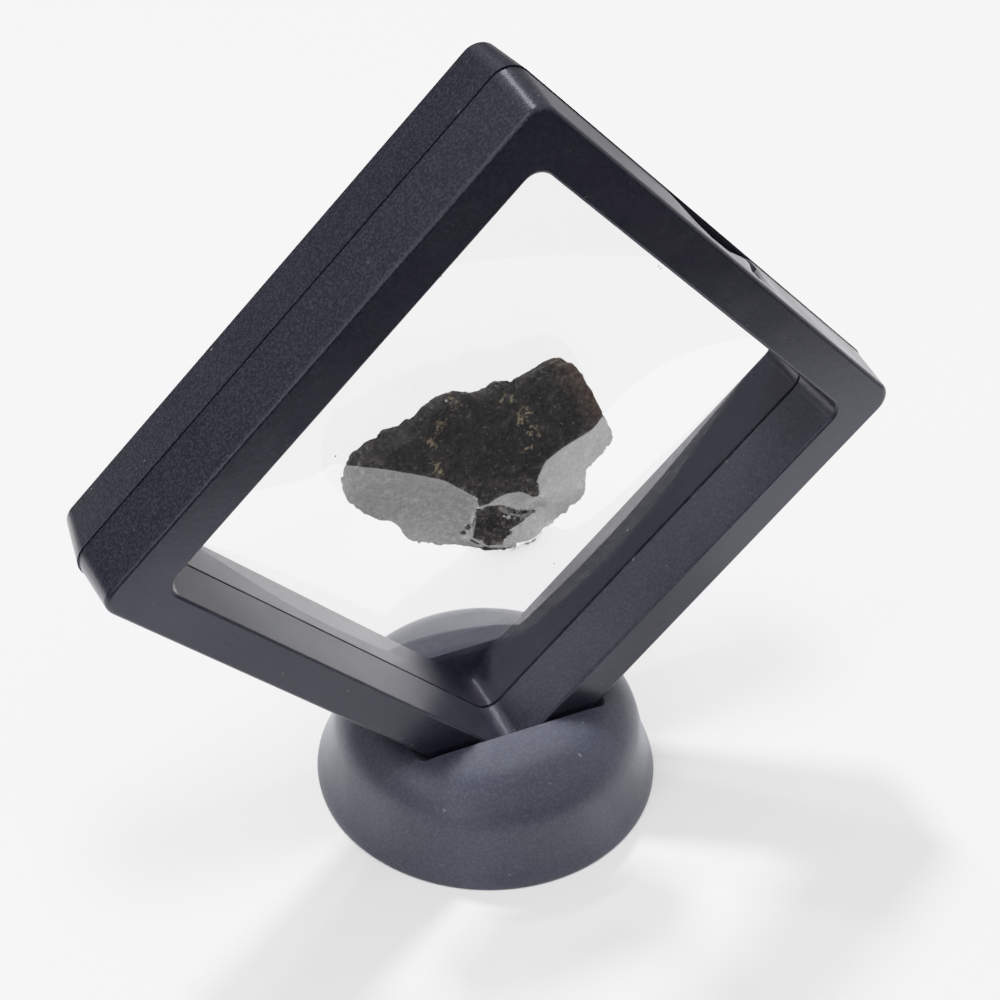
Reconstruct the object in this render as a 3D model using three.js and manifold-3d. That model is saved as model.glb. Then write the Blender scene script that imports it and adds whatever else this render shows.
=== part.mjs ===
// Chondrite meteorite held between two clear films in a square floating display frame,
// which stands on one corner in the slot of a round foot.
// Millimetres. +Z up, +Y away from the viewer, origin at the centre of the foot's underside.
import * as THREE from 'three';
import { mergeVertices } from 'three/addons/utils/BufferGeometryUtils.js';
import Module from 'manifold-3d';

const wasm = await Module();
wasm.setup();

// ---- driving dimensions -------------------------------------------------------------------
const GAP = 0.3;                 // clearance between pieces that touch

const frame = {
  side: 90,                      // across the flats, at the seam
  thick: 19.5,                   // front face to back face
  draft: 0.9,                    // how far the outer sides fall in from the seam to each face
  cornerR: 3.0,                  // outer corner, at the face
  edgeR: 0.7,                    // rounding where the sides meet the faces
  window: 74.75,                 // clear window across the flats, at the face
  windowDraft: 0.35,             // how far the window walls come in from the face to the seam
  windowR: 2.7,                  // window corner
  windowEdgeR: 0.45,             // rounding of the window's edge on the face
  rebate: 2.3,                   // width of the step that holds the film's border
  centreZ: 63.72,                // height of the frame's centre with its corner in the foot
};

const notch = {                  // fingernail scoop in the seam, on the upper right side
  depth: 7.6,                    // into the front half, from the seam
  bite: 2.4,                     // into the side, at the seam
  outline: [                     // [along the side from its middle, share of the full depth]
    [-10.5, 0.02],
    [-8.6, 0.45],
    [-7.2, 0.82],
    [-5.0, 1],
    [-0.5, 0.96],
    [3.3, 0.68],
    [6.2, 0.42],
    [8.6, 0.26],
    [11.0, 0.02],
  ],
};

const film = {
  thick: 0.3,
  seat: 2.0,                     // how far the border reaches into the rebate
};

const foot = {
  radius: 27.7,
  height: 16.2,
  wall: 1.8,
  lift: 0.4,                     // clear of the table under the slot's pocket
  slotHalfWidth: 10.3,
  pocketWall: 1.6,
};

const stone = {
  centreX: -2.5,
  centreZ: 61.5,
  rimY: 0.4,                     // depth of the plane that the outline lies in
  frontRim: 6.5,                 // how far the front could swell from the rim, broken faces aside
  backRim: 5.0,
};

const SIDE_STEPS = 7;            // segments along each side of a film's border
const CORNER_STEPS = 6;          // segments in a rounded frame corner
const FOOT_STEPS = 56;           // segments round the foot

// ---- colours ------------------------------------------------------------------------------
const blackPlastic = { color: 0x2b2c33, roughness: 0.55, metalness: 0 };
const footPlastic = { color: 0x34373f, roughness: 0.6, metalness: 0 };
const clearFilm = { color: 0xf4f6f7, roughness: 0.05, metalness: 0, transparent: true, opacity: 0.18 };
const crust = { color: 0x2c2724, roughness: 0.75, metalness: 0.05 };

// ---- mesh helpers -------------------------------------------------------------------------
function geometryFrom(points, triangles) {
  const geometry = new THREE.BufferGeometry();
  geometry.setAttribute('position', new THREE.Float32BufferAttribute(points.flat(), 3));
  geometry.setIndex(triangles.flat());
  return geometry;
}

// Joins rings of points, each with the same count, into a closed skin that wraps in both
// directions: ring after ring, and the last ring back to the first.
function torusGeometry(rings) {
  const count = rings[0].length;
  const triangles = [];
  for (let i = 0; i < rings.length; i++) {
    const here = i * count;
    const next = ((i + 1) % rings.length) * count;
    for (let j = 0; j < count; j++) {
      const k = (j + 1) % count;
      triangles.push([here + j, here + k, next + k]);
      triangles.push([here + j, next + k, next + j]);
    }
  }
  return geometryFrom(rings.flat(), triangles);
}

// Joins rings between two single end points into a closed skin, such as a stone's or a lens's.
function ballGeometry(start, rings, end) {
  const count = rings[0].length;
  const points = [start, ...rings.flat(), end];
  const ringStart = (i) => 1 + i * count;
  const last = points.length - 1;
  const triangles = [];
  for (let j = 0; j < count; j++) {
    const k = (j + 1) % count;
    triangles.push([0, ringStart(0) + j, ringStart(0) + k]);
    triangles.push([last, ringStart(rings.length - 1) + k, ringStart(rings.length - 1) + j]);
    for (let i = 0; i + 1 < rings.length; i++) {
      triangles.push([ringStart(i) + j, ringStart(i + 1) + j, ringStart(i + 1) + k]);
      triangles.push([ringStart(i) + j, ringStart(i + 1) + k, ringStart(i) + k]);
    }
  }
  return geometryFrom(points, triangles);
}

function toSolid(geometry) {
  const bare = geometry.clone();
  bare.deleteAttribute('normal');
  bare.deleteAttribute('uv');
  const merged = mergeVertices(bare, 1e-4);
  return new wasm.Manifold(new wasm.Mesh({
    numProp: 3,
    vertProperties: new Float32Array(merged.attributes.position.array),
    triVerts: new Uint32Array(merged.index.array),
  }));
}

function toGeometry(solid) {
  const mesh = solid.getMesh();
  const geometry = new THREE.BufferGeometry();
  geometry.setAttribute('position', new THREE.BufferAttribute(mesh.vertProperties, 3));
  geometry.setIndex(new THREE.BufferAttribute(mesh.triVerts, 1));
  return geometry;
}

function node(name, geometry, finish) {
  const mesh = new THREE.Mesh(geometry, new THREE.MeshStandardMaterial(finish));
  mesh.name = name;
  return mesh;
}

// ---- the square frame ---------------------------------------------------------------------
// A rounded square in the frame's own plane, as [x, z] stations that start at the same place
// on every square, so that squares of different sizes join station by station.
function roundedSquare(half, radius, steps = CORNER_STEPS) {
  const stations = [];
  for (let corner = 0; corner < 4; corner++) {
    const cx = (corner === 0 || corner === 3 ? 1 : -1) * (half - radius);
    const cz = (corner < 2 ? 1 : -1) * (half - radius);
    for (let step = 0; step <= steps; step++) {
      const angle = (corner + step / steps) * Math.PI / 2;
      stations.push([cx + radius * Math.cos(angle), cz + radius * Math.sin(angle)]);
    }
  }
  return stations;
}

// The frame stands on its corner: its square is turned by 45 degrees about Y.
function stand45(x, y, z) {
  const c = Math.SQRT1_2;
  return [c * (x - z), y, c * (x + z) + frame.centreZ];
}

// One half's cross-section, from the seam round the face and back along the window, as
// [half size, depth from the middle plane, corner radius].
function halfSection() {
  const faceY = frame.thick / 2;
  const seamY = GAP / 2;
  const outerFace = frame.side / 2 - frame.draft;
  const innerFace = frame.window / 2;
  const innerSeam = innerFace - frame.windowDraft;
  const rebateFloor = GAP / 2 + film.thick + GAP + 0.05;
  const rebateWall = innerSeam + frame.rebate;
  const section = [
    [frame.side / 2, seamY, frame.cornerR + frame.draft / 2],
  ];
  for (const turn of [0, 0.33, 0.67, 1]) {
    const angle = turn * Math.PI / 2;
    const inset = frame.edgeR * (1 - Math.cos(angle));
    const depth = faceY - frame.edgeR * (1 - Math.sin(angle));
    section.push([outerFace - inset, depth, frame.cornerR]);
  }
  for (const turn of [0, 0.5, 1]) {
    const angle = turn * Math.PI / 2;
    const inset = frame.windowEdgeR * (1 - Math.sin(angle));
    const depth = faceY - frame.windowEdgeR * (1 - Math.cos(angle));
    section.push([innerFace + inset, depth, frame.windowR]);
  }
  section.push([innerSeam, rebateFloor, frame.windowR]);
  section.push([rebateWall, rebateFloor, frame.windowR + frame.rebate]);
  section.push([rebateWall, seamY, frame.windowR + frame.rebate]);
  return section;
}

// side is -1 for the front half and +1 for the back half.
function frameHalf(side) {
  const rings = halfSection().map(([half, depth, radius]) => (
    roundedSquare(half, radius).map(([x, z]) => stand45(x, side * depth, z))
  ));
  if (side > 0) rings.reverse();
  return toSolid(torusGeometry(rings));
}

// The scoop's cutter. Before the frame's turn the upper right side faces +X, and the scoop
// runs along -Z, towards the right corner.
function notchCutter() {
  const outside = frame.side / 2 + 2;
  const rings = notch.outline.map(([along, share]) => {
    const depth = GAP + notch.depth * share;
    const inner = frame.side / 2 - notch.bite * share;
    const skin = frame.side / 2 - frame.draft * depth / (frame.thick / 2) - 0.02;
    const corners = [[outside, 1], [inner, 1], [inner, -GAP], [skin, -depth], [outside, -depth]];
    return corners.map(([x, y]) => stand45(x, y, -along));
  });
  const middle = (ring) => [0, 1, 2].map((axis) => (
    ring.reduce((sum, point) => sum + point[axis], 0) / ring.length
  ));
  return toSolid(ballGeometry(middle(rings[0]), rings, middle(rings.at(-1))));
}

// ---- the round foot -----------------------------------------------------------------------
// Outer outline from the rim at the bottom to the flat top, as [radius, height].
const footOutline = [
  [foot.radius - 0.15, 0],
  [foot.radius, 0.25],
  [foot.radius - 0.15, 0.9],
  [26.5, 3.4],
  [25.6, 6.4],
  [25.0, 8.8],
  [24.5, 10.7],
  [23.65, 12.3],
  [22.35, 13.75],
  [20.75, 14.95],
  [19.0, 15.8],
  [17.3, 16.12],
  [16.2, foot.height],
];

// The hollow under the foot, from below its rim to its ceiling, as [radius, height].
const cavityOutline = [
  [foot.radius - foot.wall + 0.3, -1],
  [24.7, 3.4],
  [23.2, 8.8],
  [21.9, 12.3],
  [18.9, foot.height - foot.wall],
];

function lathe(outline) {
  const profile = outline.map(([r, h]) => new THREE.Vector2(r, h));
  const geometry = new THREE.LatheGeometry(profile, FOOT_STEPS);
  geometry.rotateX(Math.PI / 2);
  return toSolid(geometry);
}

// The corner of the frame, grown by a margin, as a prism along Y: what the slot is cut with.
function cornerPrism(margin, halfWidth, topZ) {
  const half = frame.side / 2 + margin;
  const radius = frame.cornerR + frame.draft / 2 + margin;
  const tip = half - radius;
  const shape = new THREE.Shape();
  const arc = [];
  for (let step = 0; step <= CORNER_STEPS; step++) {
    const angle = Math.PI + step / CORNER_STEPS * Math.PI / 2;
    const [x, , z] = stand45(-tip + radius * Math.cos(angle), 0, -tip + radius * Math.sin(angle));
    arc.push([x, z]);
  }
  const [leftX, leftZ] = arc[0];
  const [rightX, rightZ] = arc[arc.length - 1];
  shape.moveTo(leftX - (topZ - leftZ), topZ);
  arc.forEach(([x, z]) => shape.lineTo(x, z));
  shape.lineTo(rightX + (topZ - rightZ), topZ);
  shape.closePath();
  const geometry = new THREE.ExtrudeGeometry(shape, { depth: 2 * halfWidth, bevelEnabled: false });
  geometry.rotateX(Math.PI / 2);
  geometry.translate(0, halfWidth, 0);
  return toSolid(geometry);
}

function footSolid() {
  const body = lathe([[0, 0], ...footOutline, [0, foot.height]]);
  const cavity = lathe([[0, -1], ...cavityOutline, [0, cavityOutline.at(-1)[1]]]);
  const pocket = cornerPrism(GAP + foot.pocketWall, foot.slotHalfWidth + foot.pocketWall, foot.height)
    .trimByPlane([0, 0, 1], foot.lift);
  const slot = cornerPrism(GAP, foot.slotHalfWidth, foot.height + 8);
  return body.subtract(cavity).add(pocket.intersect(body)).subtract(slot);
}

// ---- the stone ----------------------------------------------------------------------------
// Outline as the viewer meets it square on, clockwise from the left tip, as [x, z].
const stoneOutline = [
  [-23.1, 69.1], [-21.0, 70.7], [-17.1, 72.4], [-13.6, 73.1], [-10.7, 75.9], [-6.6, 76.4],
  [-2.4, 75.1], [0.7, 76.4], [2.9, 75.4], [6.6, 77.1], [10.9, 77.8], [13.3, 74.9],
  [14.5, 71.9], [16.0, 67.8], [17.1, 65.9], [19.4, 61.1], [18.6, 59.0], [15.2, 56.2],
  [15.3, 53.1], [12.6, 48.9], [7.2, 46.0], [6.2, 43.8], [4.7, 45.5], [1.0, 45.8],
  [-3.0, 47.9], [-8.1, 49.7], [-13.0, 52.2], [-14.9, 55.6], [-18.5, 57.8], [-20.8, 59.1],
  [-23.0, 62.3], [-24.1, 65.3],
];

// Broken faces of the front, as [forward at the peak, slope along x, slope along z], measured
// from the peak where they meet. The least of them is the surface.
const stonePeak = { x: -3.0, z: 60.4 };
const frontFaces = [
  [6.4, 0.10, -0.24],            // upper left, the broad dark face
  [6.4, -0.09, -0.22],           // upper right
  [6.4, 0.326, 0.304],           // lower left, falls away to the left
  [6.4, -0.289, 0.201],          // lower right
  [16.0, -0.75, -0.25],          // chipped right end
  [9.8, 0.12, -0.45],            // along the top edge
];
const backFaces = [
  [5.2, 0.03, 0.05],             // broad broken face
  [6.4, 0.16, -0.10],            // falls away to the left
  [6.6, -0.20, 0.08],            // falls away to the right
  [8.2, 0.05, 0.32],             // undercut at the bottom
];

// Lumps and thumbprint hollows that the whole surface carries.
function relief(x, z) {
  return 0.34 * Math.sin(0.62 * x + 0.31 * z) * Math.sin(0.47 * z - 0.23 * x + 1.1)
    + 0.22 * Math.sin(1.15 * x - 0.68 * z + 0.4) + 0.14 * Math.sin(1.7 * z + 0.9 * x);
}

// Directions from the stone's centre, as angles from +x: the films' run through the stations
// of their border, and the stone has one more between each two of those.
const borderHalf = frame.window / 2 - frame.windowDraft + film.seat;
const borderR = frame.windowR + film.seat;
const filmRays = borderStations().map(([x, z]) => Math.atan2(z - stone.centreZ, x - stone.centreX));
const stoneRays = filmRays.flatMap((angle, i) => {
  const next = filmRays[(i + 1) % filmRays.length];
  const turn = (next - angle + 4 * Math.PI) % (2 * Math.PI);
  return [angle, angle + turn / 2];
});

function borderStations() {
  const corners = roundedSquare(borderHalf, borderR, 2);
  return corners.flatMap(([x, z], i) => {
    const [nextX, nextZ] = corners[(i + 1) % corners.length];
    const steps = i % 3 === 2 ? SIDE_STEPS : 1;
    return Array.from({ length: steps }, (_, step) => {
      const share = step / steps;
      const [turnedX, , turnedZ] = stand45(x + (nextX - x) * share, 0, z + (nextZ - z) * share);
      return [turnedX, turnedZ];
    });
  });
}

// Distance from the stone's centre to its outline in a direction.
function outlineRadius(angle) {
  const dx = Math.cos(angle);
  const dz = Math.sin(angle);
  let reach = 0;
  stoneOutline.forEach(([x1, z1], i) => {
    const [x2, z2] = stoneOutline[(i + 1) % stoneOutline.length];
    const ax = x1 - stone.centreX;
    const az = z1 - stone.centreZ;
    const ex = x2 - x1;
    const ez = z2 - z1;
    const cross = dx * ez - dz * ex;
    const along = (ax * ez - az * ex) / cross;
    const part = (ax * dz - az * dx) / cross;
    if (along > 0 && part >= 0 && part <= 1) reach = Math.max(reach, along);
  });
  return reach;
}

function faceHeight(faces, x, z) {
  return Math.min(...faces.map(([peak, slopeX, slopeZ]) => (
    peak + slopeX * (x - stonePeak.x) + slopeZ * (z - stonePeak.z)
  )));
}

// How far the stone stands out from its rim plane, to the front or to the back.
function stoneSwell(isFront, x, z, part) {
  const faces = isFront ? frontFaces : backFaces;
  const rim = isFront ? stone.frontRim : stone.backRim;
  const round = rim * Math.sqrt(1 - part * part);
  const flat = faceHeight(faces, x, z) + relief(x, z) * (isFront ? 1 : -1);
  return Math.max(0.25 * round, Math.min(round, flat));
}

const stoneParts = [0.14, 0.3, 0.45, 0.58, 0.7, 0.8, 0.88, 0.94, 0.98];

function stonePoint(isFront, ray, part) {
  const angle = stoneRays[ray];
  const reach = outlineRadius(angle) * part;
  const x = stone.centreX + reach * Math.cos(angle);
  const z = stone.centreZ + reach * Math.sin(angle);
  const swell = stoneSwell(isFront, x, z, part);
  return [x, stone.rimY + (isFront ? -swell : swell), z];
}

function stoneGeometry() {
  const ringAt = (isFront, part) => (
    stoneRays.map((_, ray) => stonePoint(isFront, ray, part))
  );
  const rings = [
    ...stoneParts.map((part) => ringAt(true, part)),
    ringAt(true, 1),
    ...[...stoneParts].reverse().map((part) => ringAt(false, part)),
  ];
  return ballGeometry(stonePoint(true, 0, 0), rings, stonePoint(false, 0, 0));
}

// ---- the films ----------------------------------------------------------------------------
const filmStoneParts = [0.3, 0.58, 0.8, 0.94, 1];
const filmOuterParts = [0.12, 0.4, 0.75, 1];

// Distance from the stone's centre to a square round the frame's centre, in a direction.
function squareRadius(angle, half, radius) {
  const c = Math.SQRT1_2;
  let low = 20;
  let high = 80;
  for (let step = 0; step < 40; step++) {
    const middle = (low + high) / 2;
    const x = stone.centreX + middle * Math.cos(angle);
    const z = stone.centreZ - frame.centreZ + middle * Math.sin(angle);
    const cornerU = Math.max(0, Math.abs(c * (x + z)) - (half - radius));
    const cornerV = Math.max(0, Math.abs(c * (z - x)) - (half - radius));
    if (Math.hypot(cornerU, cornerV) < radius) low = middle;
    else high = middle;
  }
  return low;
}

// The most that the stone stands out on the cells of its skin that touch a film's point.
function swellNear(isFront, filmRay, ringIndex) {
  const parts = [0, ...filmStoneParts];
  const from = parts[Math.max(0, ringIndex - 1)];
  const to = parts[Math.min(parts.length - 1, ringIndex + 1)];
  let most = 0;
  for (const part of [0, ...stoneParts, 1]) {
    if (part < from - 1e-6 || part > to + 1e-6) continue;
    for (let step = -2; step <= 2; step++) {
      const ray = (filmRay * 2 + step + stoneRays.length) % stoneRays.length;
      const [, y] = stonePoint(isFront, ray, part);
      most = Math.max(most, isFront ? -y : y);
    }
  }
  return most;
}

// Heights of a taut string over the given [distance, height] points, ends kept.
function tautOver(points) {
  return points.map(([d, h], i) => {
    let best = h;
    for (let a = 0; a < i; a++) {
      for (let b = i + 1; b < points.length; b++) {
        const share = (d - points[a][0]) / (points[b][0] - points[a][0]);
        best = Math.max(best, points[a][1] + share * (points[b][1] - points[a][1]));
      }
    }
    return best;
  });
}

// One film, stretched from the stone to the window's edge, and flat in its seat, as a closed
// sheet.
function filmGeometry(isFront) {
  const sign = isFront ? -1 : 1;
  const seatHeight = GAP / 2 + 0.05;
  const edge = frame.window / 2 - frame.windowDraft - GAP;
  const centreHeight = GAP + Math.max(...filmRays.map((_, i) => swellNear(isFront, i, 0)));
  const rays = filmRays.map((angle, i) => {
    const rim = outlineRadius(angle);
    const span = squareRadius(angle, edge, frame.windowR) - rim;
    const free = [[0, centreHeight]];
    filmStoneParts.forEach((part, index) => {
      free.push([rim * part, swellNear(isFront, i, index + 1) + GAP]);
    });
    filmOuterParts.forEach((part) => {
      free.push([rim + part * span, seatHeight]);
    });
    const border = squareRadius(angle, borderHalf, borderR);
    return {
      angle,
      distances: [...free.map(([distance]) => distance), border],
      heights: [...tautOver(free), seatHeight],
    };
  });
  const ring = (index, lift) => rays.map(({ angle, distances, heights }) => [
    stone.centreX + distances[index] * Math.cos(angle),
    sign * (heights[index] + lift),
    stone.centreZ + distances[index] * Math.sin(angle),
  ]);
  const count = rays[0].distances.length;
  const outward = Array.from({ length: count - 1 }, (_, i) => ring(i + 1, film.thick));
  const inward = Array.from({ length: count - 1 }, (_, i) => ring(count - 1 - i, 0));
  const rings = [...outward, ...inward];
  const top = [stone.centreX, sign * (centreHeight + film.thick), stone.centreZ];
  const underside = [stone.centreX, sign * centreHeight, stone.centreZ];
  return isFront
    ? ballGeometry(top, rings, underside)
    : ballGeometry(underside, rings.reverse(), top);
}

// ---- assembly -----------------------------------------------------------------------------
const specimen = new THREE.Group();
specimen.add(node('stand', toGeometry(footSolid()), footPlastic));
specimen.add(node('frame_front', toGeometry(frameHalf(-1).subtract(notchCutter())), blackPlastic));
specimen.add(node('frame_back', toGeometry(frameHalf(1)), blackPlastic));
specimen.add(node('membrane_front', filmGeometry(true), clearFilm));
specimen.add(node('membrane_back', filmGeometry(false), clearFilm));
specimen.add(node('meteorite', stoneGeometry(), crust));

export default specimen;
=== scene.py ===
"""Looks of a chondrite meteorite held between clear films in a square floating display frame.

Lengths are written in millimetres, and MM turns them into Blender's metres.
"""
import math

import bmesh
import bpy
import numpy as np
from mathutils import Matrix, Vector, noise
from mathutils.bvhtree import BVHTree


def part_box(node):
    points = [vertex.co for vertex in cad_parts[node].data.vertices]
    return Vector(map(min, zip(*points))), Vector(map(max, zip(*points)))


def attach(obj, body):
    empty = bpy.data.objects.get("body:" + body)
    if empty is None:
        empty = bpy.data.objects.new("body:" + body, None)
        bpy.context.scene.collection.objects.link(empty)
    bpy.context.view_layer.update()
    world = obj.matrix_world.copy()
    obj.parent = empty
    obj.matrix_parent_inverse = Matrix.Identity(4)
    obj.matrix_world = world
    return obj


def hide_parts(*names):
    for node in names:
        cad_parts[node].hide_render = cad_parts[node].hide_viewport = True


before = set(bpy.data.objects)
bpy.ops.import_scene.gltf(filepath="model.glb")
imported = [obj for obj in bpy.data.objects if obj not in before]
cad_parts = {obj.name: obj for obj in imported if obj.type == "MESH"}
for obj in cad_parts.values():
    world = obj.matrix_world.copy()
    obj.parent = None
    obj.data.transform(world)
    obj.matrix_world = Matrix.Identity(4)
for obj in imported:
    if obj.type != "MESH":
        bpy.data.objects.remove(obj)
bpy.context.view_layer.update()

MM = 0.001
FAR = 50.0                       # further from the middle plane than any part of the object
CENTRE_Z = 63.72                 # height of the frame's centre
SIDE = 90.0                      # frame, across the flats at the seam
THICK = 19.5
WINDOW = 74.75                   # clear window, across the flats at the face
WINDOW_DRAFT = 0.35              # how far the window's walls lean in towards the seam


# ---- mesh helpers -------------------------------------------------------------------------
def mesh_object(name, points_mm, faces):
    """A new object whose mesh has these points and faces."""
    mesh = bpy.data.meshes.new(name)
    mesh.from_pydata([[c * MM for c in p] for p in points_mm], [], faces)
    mesh.validate()
    piece = bpy.data.objects.new(name, mesh)
    bpy.context.scene.collection.objects.link(piece)
    return piece


def shade_smooth(piece, angle=None):
    """Smooth shading, split at edges sharper than angle (degrees)."""
    data = bmesh.new()
    data.from_mesh(piece.data)
    bmesh.ops.recalc_face_normals(data, faces=data.faces)
    for face in data.faces:
        face.smooth = True
    if angle is not None:
        limit = math.radians(angle)
        for edge in data.edges:
            edge.smooth = len(edge.link_faces) == 2 and edge.calc_face_angle(0.0) < limit
    data.to_mesh(piece.data)
    data.free()


def apply_modifiers(piece):
    """Turn what the modifiers make into the piece's own mesh."""
    graph = bpy.context.evaluated_depsgraph_get()
    mesh = bpy.data.meshes.new_from_object(piece.evaluated_get(graph))
    piece.modifiers.clear()
    piece.data = mesh


def points_of(piece):
    points = np.empty(len(piece.data.vertices) * 3)
    piece.data.vertices.foreach_get("co", points)
    return points.reshape(-1, 3) / MM


def set_points(piece, points_mm):
    piece.data.vertices.foreach_set("co", (points_mm * MM).ravel())
    piece.data.update()


def stand45(x, y, z):
    """The frame stands on its corner: a point of the unturned square, turned by 45 degrees."""
    c = math.sqrt(0.5)
    return (c * (x - z), y, c * (x + z) + CENTRE_Z)


# ---- material helpers ---------------------------------------------------------------------
class Nodes:
    """The nodes of a material or a world, with short ways to add and link them."""

    def __init__(self, holder):
        self.holder = holder
        self.holder.use_nodes = True
        self.tree = self.holder.node_tree
        self.shader = self.tree.nodes.get("Principled BSDF")
        self.place = self.add("ShaderNodeTexCoord").outputs["Object"]

    def add(self, kind, **settings):
        node = self.tree.nodes.new(kind)
        for key, value in settings.items():
            setattr(node, key, value)
        return node

    def put(self, socket, value):
        if isinstance(value, bpy.types.NodeSocket):
            self.tree.links.new(value, socket)
        else:
            socket.default_value = value

    def axes(self, vector=None):
        """X, Y and Z of a vector, or of the place on the object."""
        node = self.add("ShaderNodeSeparateXYZ")
        self.put(node.inputs[0], self.place if vector is None else vector)
        return node.outputs["X"], node.outputs["Y"], node.outputs["Z"]

    def noise(self, scale, detail=4.0, rough=0.55, distortion=0.0):
        node = self.add("ShaderNodeTexNoise")
        self.put(node.inputs["Vector"], self.place)
        node.inputs["Scale"].default_value = scale
        node.inputs["Detail"].default_value = detail
        node.inputs["Roughness"].default_value = rough
        node.inputs["Distortion"].default_value = distortion
        return node.outputs["Fac"]

    def scattered(self, scale, x, y):
        """Distance from the nearest of many points that are scattered over a plane."""
        flat = self.add("ShaderNodeCombineXYZ")
        self.put(flat.inputs["X"], x)
        self.put(flat.inputs["Y"], y)
        node = self.add("ShaderNodeTexVoronoi", voronoi_dimensions="2D")
        self.put(node.inputs["Vector"], flat.outputs[0])
        node.inputs["Scale"].default_value = scale
        return node.outputs["Distance"]

    def ramp(self, value, *stops):
        """stops are (position, colour or grey)."""
        node = self.add("ShaderNodeValToRGB")
        self.put(node.inputs["Fac"], value)
        ramp = node.color_ramp
        while len(ramp.elements) < len(stops):
            ramp.elements.new(0.5)
        for element, (position, colour) in zip(ramp.elements, stops):
            element.position = position
            colour = (colour,) * 3 if isinstance(colour, (int, float)) else colour
            element.color = (*colour, 1.0)
        return node.outputs["Color"]

    def mix(self, share, a, b):
        node = self.add("ShaderNodeMix", data_type="RGBA")
        self.put(node.inputs["Factor"], share)
        for name, value in (("A", a), ("B", b)):
            socket = next(s for s in node.inputs if s.name == name and s.type == "RGBA")
            self.put(socket, (*value, 1.0) if isinstance(value, tuple) else value)
        return next(s for s in node.outputs if s.type == "RGBA")

    def math(self, operation, a, b=0.0):
        node = self.add("ShaderNodeMath", operation=operation)
        self.put(node.inputs[0], a)
        self.put(node.inputs[1], b)
        return node.outputs[0]

    def times(self, a, b):
        return self.math("MULTIPLY", a, b)

    def bump(self, height, strength, distance, under=None):
        node = self.add("ShaderNodeBump")
        node.inputs["Strength"].default_value = strength
        node.inputs["Distance"].default_value = distance
        self.put(node.inputs["Height"], height)
        if under is not None:
            self.put(node.inputs["Normal"], under)
        return node.outputs["Normal"]

    def finish(self, **inputs):
        for name, value in inputs.items():
            self.put(self.shader.inputs[name.replace("_", " ")], value)
        return self.holder


# ---- materials ----------------------------------------------------------------------------
def frame_plastic():
    """Near-black moulded plastic, eroded on the sides and satin on the faces, with a little dust."""
    n = Nodes(bpy.data.materials.new("frame_plastic"))
    _, facing, _ = n.axes(n.add("ShaderNodeTexCoord").outputs["Normal"])
    side = n.ramp(n.math("ABSOLUTE", facing), (0.90, 1.0), (0.97, 0.4))
    grain = n.noise(2400, detail=3, rough=0.6)
    clouds = n.noise(45, detail=3)
    dust = n.ramp(n.noise(900, detail=2, rough=0.4, distortion=0.4), (0.765, 0.0), (0.79, 1.0))
    base = n.ramp(clouds, (0.3, (0.0030, 0.0030, 0.0066)), (0.75, (0.0046, 0.0046, 0.0090)))
    eroded = n.times(n.ramp(grain, (0.44, 0.0), (0.68, 0.7)), side)
    base = n.mix(eroded, base, (0.022, 0.022, 0.032))
    colour = n.mix(n.times(dust, 0.3), base, (0.25, 0.24, 0.22))
    rough = n.ramp(n.noise(120, detail=4), (0.3, 0.29), (0.75, 0.37))
    rough = n.math("SUBTRACT", rough, n.ramp(side, (0.4, 0.07), (1.0, 0.0)))
    normal = n.bump(n.times(grain, side), 0.5, 0.00006)
    normal = n.bump(n.noise(420, detail=2), 0.12, 0.0001, under=normal)
    return n.finish(
        Base_Color=colour, Roughness=rough, Normal=normal,
        Specular_Tint=(0.82, 0.84, 1.0, 1.0), Specular_IOR_Level=0.4,
    )


def foot_plastic():
    """Satin moulded plastic, a shade lighter than the frame."""
    n = Nodes(bpy.data.materials.new("foot_plastic"))
    grain = n.noise(2200, detail=3, rough=0.6)
    clouds = n.noise(60, detail=4)
    dust = n.ramp(n.noise(700, detail=2, rough=0.4, distortion=0.5), (0.765, 0.0), (0.79, 1.0))
    base = n.ramp(clouds, (0.3, (0.0150, 0.0168, 0.0265)), (0.75, (0.0200, 0.0220, 0.0330)))
    base = n.mix(n.ramp(grain, (0.42, 0.0), (0.68, 0.6)), base, (0.042, 0.045, 0.060))
    colour = n.mix(n.times(dust, 0.3), base, (0.3, 0.3, 0.3))
    rough = n.ramp(n.noise(150, detail=4), (0.3, 0.42), (0.75, 0.50))
    normal = n.bump(grain, 0.4, 0.00008)
    normal = n.bump(n.noise(300, detail=3), 0.15, 0.00012, under=normal)
    return n.finish(
        Base_Color=colour, Roughness=rough, Normal=normal,
        Specular_Tint=(0.82, 0.86, 1.0, 1.0), Specular_IOR_Level=0.5,
        Sheen_Weight=0.5, Sheen_Roughness=0.25, Sheen_Tint=(0.86, 0.90, 1.0, 1.0),
    )


def clear_film():
    """Clear stretched elastic film, nearly perfectly smooth, with a few specks of dust."""
    n = Nodes(bpy.data.materials.new("clear_film"))
    x, _, z = n.axes()
    beside = n.ramp(n.scattered(100, x, z), (0.010, 0.0), (0.018, 1.0))
    clean = n.ramp(n.noise(60, detail=1), (0.60, 1.0), (0.62, 0.0))
    clear = n.math("MAXIMUM", beside, clean)
    return n.finish(
        Base_Color=n.mix(clear, (0.12, 0.11, 0.11), (1.0, 1.0, 1.0)),
        Roughness=0.02,
        IOR=1.66,
        Transmission_Weight=clear,
    )


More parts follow.
